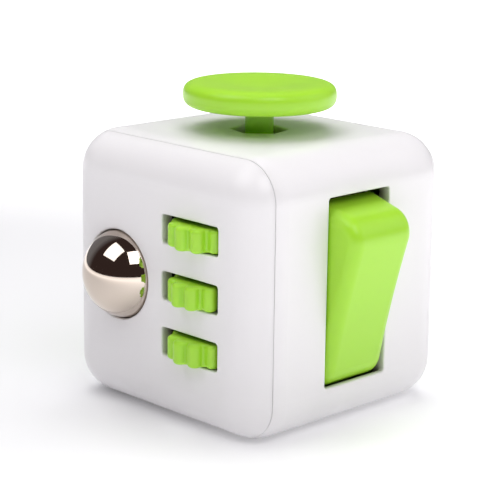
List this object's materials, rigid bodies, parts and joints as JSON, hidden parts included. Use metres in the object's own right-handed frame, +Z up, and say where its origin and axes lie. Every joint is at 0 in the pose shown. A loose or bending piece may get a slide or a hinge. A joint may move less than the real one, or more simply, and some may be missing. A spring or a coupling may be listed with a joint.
{
  "type": "fidget cube",
  "caption": "Palm-sized desk toy: a rounded white cube with a green rocker, lobed wheels, gliding disc, push buttons and dial, and a pressable steel ball.",
  "frame": {"origin": "centre of the flat bottom face that the cube stands on", "axes": "+Z up through the gliding disc, -Y out of the ball and wheel face, +X out of the rocker face"},
  "size_m": [0.0385, 0.038, 0.0387],
  "materials": {
    "white_shell": "white moulded ABS, satin gloss",
    "green_plastic": "lime green moulded ABS, glossy",
    "polished_steel": "mirror-polished steel ball",
    "steel": "zinc-plated steel",
    "spring_steel": "rolled spring steel",
    "inner_plastic": "dark moulded acetal, matt",
    "slippery_plastic": "unfilled PTFE-like plastic",
    "silicone": "translucent grey silicone"
  },
  "bodies": {
    "case": {"cradle_shell": "white_shell", "saddle_shell": "white_shell", "wheel_axle": "steel", "wheel_spacers": "inner_plastic", "wheel_washers": "inner_plastic", "wheel_bracket": "inner_plastic", "wheel_bracket_screws": "steel", "ball_dome": "spring_steel", "ball_plate": "inner_plastic", "ball_plate_screws": "steel", "rocker_pin": "steel", "rocker_yoke": "inner_plastic", "rocker_leaf": "spring_steel", "rocker_yoke_screws": "steel", "glide_retainer": "inner_plastic", "glide_retainer_screws": "steel", "centring_ring": "silicone", "dome_pad": "silicone", "click_discs": "spring_steel", "button_plate": "inner_plastic", "button_plate_screws": "steel", "dial_spring_washer": "spring_steel"},
    "wheel_1": {"wheel_1": "green_plastic"},
    "wheel_2": {"wheel_2": "green_plastic"},
    "wheel_3": {"wheel_3": "green_plastic"},
    "ball_cup": {"ball_cup": "inner_plastic"},
    "ball": {"ball": "polished_steel"},
    "rocker": {"rocker": "green_plastic"},
    "glide_washer": {"glide_washer": "slippery_plastic"},
    "glide_disc": {"glide_cap": "green_plastic", "glide_slider": "green_plastic", "glide_keeper": "steel", "glide_screw": "steel"},
    "dial": {"dial": "green_plastic", "dial_keeper": "steel", "dial_screw": "steel"},
    "button_1": {"button_1": "green_plastic"},
    "button_2": {"button_2": "green_plastic"},
    "button_3": {"button_3": "green_plastic"},
    "button_4": {"button_4": "green_plastic"},
    "button_5": {"button_5": "green_plastic"}
  },
  "joints": [
    {"name": "wheel_1_spin", "type": "hinge", "parent": "case", "child": "wheel_1", "pos_m": [0.0058, -0.01375, 0.0233], "axis": [0, 0, 1], "continuous": true},
    {"name": "wheel_2_spin", "type": "hinge", "parent": "case", "child": "wheel_2", "pos_m": [0.0058, -0.01375, 0.0166], "axis": [0, 0, 1], "continuous": true},
    {"name": "wheel_3_spin", "type": "hinge", "parent": "case", "child": "wheel_3", "pos_m": [0.0058, -0.01375, 0.0099], "axis": [0, 0, 1], "continuous": true},
    {"name": "ball_press", "type": "slide", "parent": "case", "child": "ball_cup", "axis": [0, 1, 0], "range_m": [0, 0.0006], "stiffness_N_per_m": 600, "springref_m": -0.0005, "deforming": ["ball_dome"]},
    {"name": "ball_roll", "type": "hinge", "parent": "ball_cup", "child": "ball", "pos_m": [-0.00686, -0.0148, 0.01654], "axis": [1, 0, 0], "continuous": true},
    {"name": "rocker_flip", "type": "hinge", "parent": "case", "child": "rocker", "pos_m": [0.0112, 0, 0.01665], "axis": [0, 1, 0], "range_deg": [-28.8, 0], "deforming": ["rocker_leaf"]},
    {"name": "glide_x", "type": "slide", "parent": "case", "child": "glide_washer", "axis": [1, 0, 0], "range_m": [-0.0009, 0.0009], "stiffness_N_per_m": 400, "deforming": ["centring_ring"]},
    {"name": "glide_y", "type": "slide", "parent": "glide_washer", "child": "glide_disc", "axis": [0, 1, 0], "range_m": [-0.0009, 0.0009], "stiffness_N_per_m": 400, "deforming": ["centring_ring"]},
    {"name": "button_1_press", "type": "slide", "parent": "case", "child": "button_1", "axis": [0, -1, 0], "range_m": [0, 0.0008], "stiffness_N_per_m": 500, "springref_m": -0.0005, "deforming": ["dome_pad"]},
    {"name": "button_2_press", "type": "slide", "parent": "case", "child": "button_2", "axis": [0, -1, 0], "range_m": [0, 0.0008], "stiffness_N_per_m": 500, "springref_m": -0.0005, "deforming": ["dome_pad"]},
    {"name": "button_3_press", "type": "slide", "parent": "case", "child": "button_3", "axis": [0, -1, 0], "range_m": [0, 0.0008], "stiffness_N_per_m": 500, "springref_m": -0.0005, "deforming": ["dome_pad"]},
    {"name": "button_4_press", "type": "slide", "parent": "case", "child": "button_4", "axis": [0, -1, 0], "range_m": [0, 0.0008], "stiffness_N_per_m": 500, "springref_m": -0.0005, "deforming": ["dome_pad"]},
    {"name": "button_5_press", "type": "slide", "parent": "case", "child": "button_5", "axis": [0, -1, 0], "range_m": [0, 0.0008], "stiffness_N_per_m": 500, "springref_m": -0.0005, "deforming": ["dome_pad"]},
    {"name": "dial_spin", "type": "hinge", "parent": "case", "child": "dial", "pos_m": [-0.017, 0, 0.0165], "axis": [1, 0, 0], "continuous": true}
  ]
}
